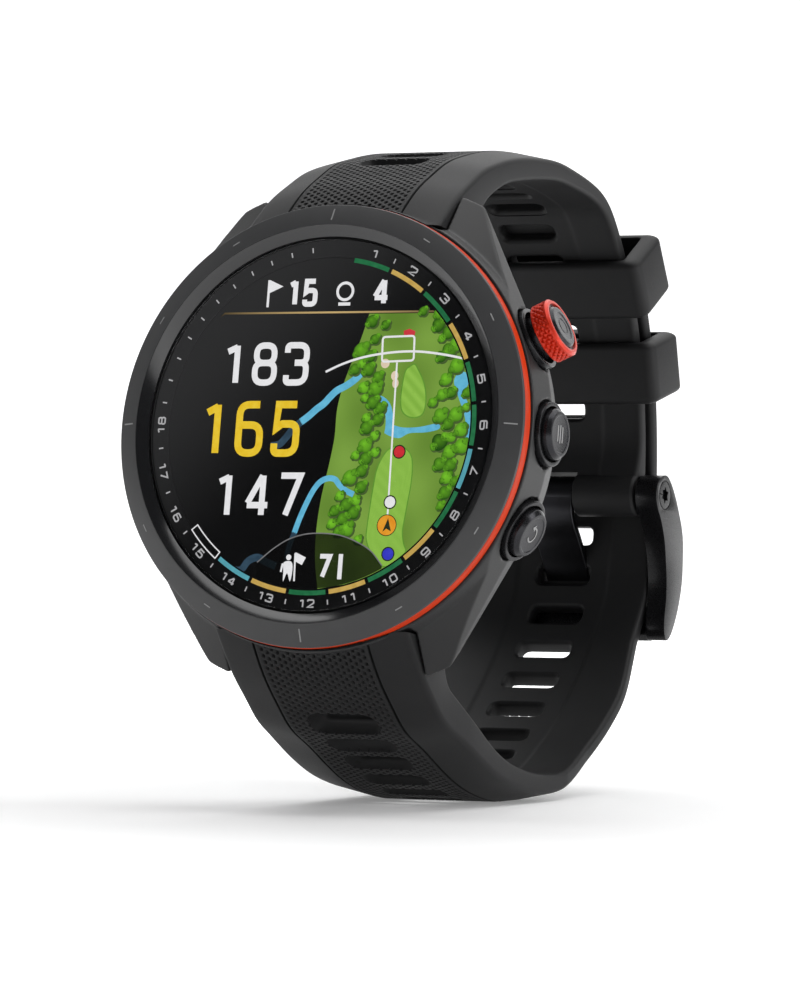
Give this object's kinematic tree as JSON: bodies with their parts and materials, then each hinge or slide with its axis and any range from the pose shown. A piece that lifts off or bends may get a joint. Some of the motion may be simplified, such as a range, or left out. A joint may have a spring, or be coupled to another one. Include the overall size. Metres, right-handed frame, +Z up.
{
  "type": "golf gps watch",
  "caption": "Round golf GPS wristwatch with a colour map display, three side buttons and a dimpled silicone strap closed by a pin buckle.",
  "frame": {"origin": "middle of the bounding box on the floor plane, under the closed strap", "axes": "+X towards the three buttons (3 o'clock), +Y from the dial towards the buckle, +Z up; the dial faces -Y and leans back 9.3 degrees"},
  "size_m": [0.0493, 0.071, 0.0707],
  "materials": {
    "ceramic": "satin grey ceramic bezel with printed index marks",
    "case_polymer": "fibre-filled polymer, fine matt",
    "orange_anodised": "orange anodised aluminium, cross knurled on the grip ring",
    "glass": "clear polished glass",
    "screen": "lit colour display behind glass",
    "black_print": "black print with pale hour numbers",
    "silicone": "matt silicone with a fine dimpled panel",
    "dark_steel": "dark coated steel, finely brushed",
    "bright_steel": "plain steel",
    "buckle_black": "black coated metal, satin",
    "circuit_green": "solder-masked circuit board",
    "battery_silver": "foil pouch",
    "copper": "plated copper",
    "gold": "gold plated contact",
    "seal_rubber": "matt rubber",
    "frame_polymer": "moulded polymer"
  },
  "bodies": {
    "watch": {"accent_ring": "orange_anodised", "antenna_ring": "copper", "back_screw_1": "bright_steel", "back_screw_2": "bright_steel", "back_screw_3": "bright_steel", "back_screw_4": "bright_steel", "back_seal": "seal_rubber", "battery": "battery_silver", "bezel_ring": "ceramic", "case_back": "frame_polymer", "charge_contact_1": "gold", "charge_contact_2": "gold", "charge_contact_3": "gold", "charge_contact_4": "gold", "charge_port": "frame_polymer", "dial_mask": "black_print", "display_panel": "screen", "gps_module": "bright_steel", "inner_frame": "frame_polymer", "lens_gasket": "seal_rubber", "lens_glass": "glass", "lower_collar": "dark_steel", "lower_switch": "frame_polymer", "main_board": "circuit_green", "main_case": "case_polymer", "middle_collar": "dark_steel", "middle_switch": "frame_polymer", "sensor_board": "circuit_green", "sensor_window": "glass", "spring_bar_lower": "bright_steel", "spring_bar_upper": "bright_steel", "start_collar": "dark_steel", "start_switch": "frame_polymer", "strap_lower": "silicone", "strap_upper": "silicone", "vibration_motor": "bright_steel"},
    "start_button_body": {"start_button": "dark_steel", "start_grip_ring": "orange_anodised", "start_seal": "seal_rubber", "start_clip": "bright_steel"},
    "middle_button_body": {"middle_button": "dark_steel", "middle_seal": "seal_rubber", "middle_clip": "bright_steel"},
    "lower_button_body": {"lower_button": "dark_steel", "lower_seal": "seal_rubber", "lower_clip": "bright_steel"},
    "upper_release": {"release_lever_upper": "bright_steel"},
    "lower_release": {"release_lever_lower": "bright_steel"},
    "upper_keeper": {"keeper_upper": "silicone"},
    "lower_keeper": {"keeper_lower": "silicone"},
    "buckle_body": {"buckle_frame": "buckle_black", "buckle_pin": "bright_steel", "pin_screw_left": "dark_steel", "pin_screw_right": "dark_steel"},
    "tang_body": {"buckle_tang": "dark_steel"}
  },
  "joints": [
    {"name": "start_press", "type": "slide", "parent": "watch", "child": "start_button_body", "axis": [-0.9063, -0.0683, -0.4171], "range_m": [0, 0.0006], "stiffness_N_per_m": 1500, "springref_m": -0.0004},
    {"name": "middle_press", "type": "slide", "parent": "watch", "child": "middle_button_body", "axis": [-1, 0, 0], "range_m": [0, 0.0006], "stiffness_N_per_m": 1500, "springref_m": -0.0004},
    {"name": "lower_press", "type": "slide", "parent": "watch", "child": "lower_button_body", "axis": [-0.9063, 0.0683, 0.4171], "range_m": [0, 0.0006], "stiffness_N_per_m": 1500, "springref_m": -0.0004},
    {"name": "upper_release_slide", "type": "slide", "parent": "watch", "child": "upper_release", "axis": [-1, 0, 0], "range_m": [0, 0.0019], "stiffness_N_per_m": 700, "springref_m": -0.001},
    {"name": "lower_release_slide", "type": "slide", "parent": "watch", "child": "lower_release", "axis": [-1, 0, 0], "range_m": [0, 0.0019], "stiffness_N_per_m": 700, "springref_m": -0.001},
    {"name": "upper_keeper_slide", "type": "hinge", "parent": "watch", "child": "upper_keeper", "pos_m": [-0.00087, -0.00691, 0.03921], "axis": [1, 0, 0], "range_deg": [-2.5, 4]},
    {"name": "lower_keeper_slide", "type": "hinge", "parent": "watch", "child": "lower_keeper", "pos_m": [-0.00087, -0.00691, 0.03921], "axis": [1, 0, 0], "range_deg": [-6.5, 2.5]},
    {"name": "buckle_swing", "type": "hinge", "parent": "watch", "child": "buckle_body", "pos_m": [-0.00087, 0.02933, 0.03337], "axis": [1, 0, 0], "range_deg": [0, 95]},
    {"name": "tang_swing", "type": "hinge", "parent": "watch", "child": "tang_body", "pos_m": [-0.00087, 0.02933, 0.03337], "axis": [1, 0, 0], "range_deg": [0, 4]}
  ]
}
